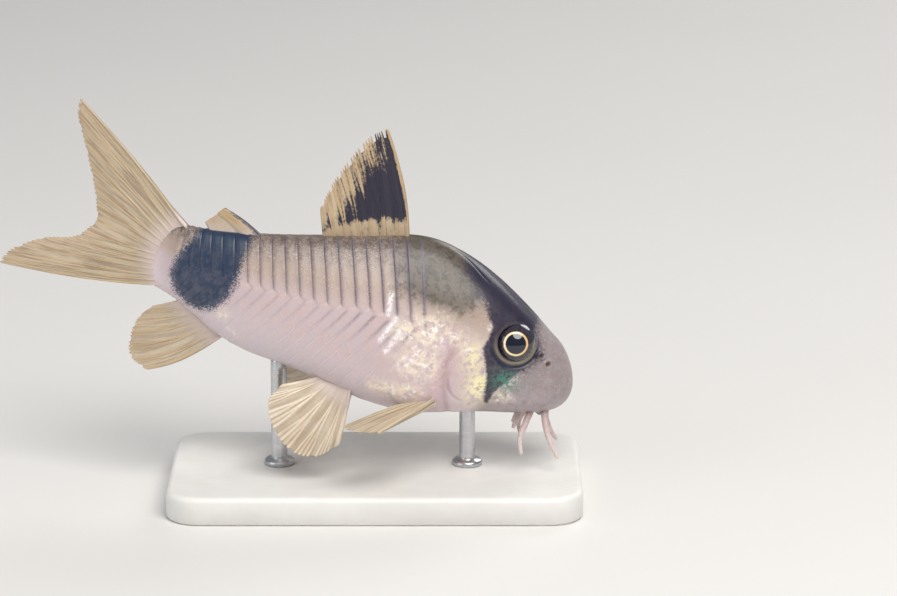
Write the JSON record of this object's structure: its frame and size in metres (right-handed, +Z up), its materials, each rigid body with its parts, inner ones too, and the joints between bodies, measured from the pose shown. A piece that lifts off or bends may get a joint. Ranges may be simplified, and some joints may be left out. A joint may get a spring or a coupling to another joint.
{
  "type": "panda corydoras catfish",
  "caption": "Still life-size model of a small armoured corydoras catfish, nose down with fins spread, held by two short rods over a flat display base.",
  "frame": {"origin": "centre of the display base's underside", "axes": "+X towards the fish's head, +Z up, +Y to the fish's left"},
  "size_m": [0.0515, 0.0208, 0.034],
  "materials": {
    "skin": "moist pinkish silver skin over bony plates",
    "dark_skin": "moist skin with a blue-black blotch",
    "gold_skin": "moist skin with a pale gold sheen",
    "eye": "wet and glossy, dark with a thin gold ring",
    "feeler": "moist pale flesh",
    "fin": "thin clear straw-coloured membrane with rays",
    "dark_fin": "thin membrane with a black blotch",
    "stand": "satin",
    "rod": "satin"
  },
  "bodies": {
    "root": {"head": "skin", "torso": "skin", "tail_stock": "dark_skin", "gill_cover_left": "gold_skin", "gill_cover_right": "gold_skin", "eye_left": "eye", "eye_right": "eye", "barbel_upper_left": "feeler", "barbel_upper_right": "feeler", "barbel_lower_left": "feeler", "barbel_lower_right": "feeler", "barbel_chin_left": "feeler", "barbel_chin_right": "feeler", "dorsal_fin": "dark_fin", "adipose_fin": "fin", "anal_fin": "fin", "tail_fin_upper": "fin", "tail_fin_lower": "fin", "pectoral_fin_left": "fin", "pectoral_fin_right": "fin", "pelvic_fin_left": "fin", "pelvic_fin_right": "fin", "stand_base": "stand", "stand_rod_front": "rod", "stand_rod_rear": "rod"}
  },
  "joints": []
}
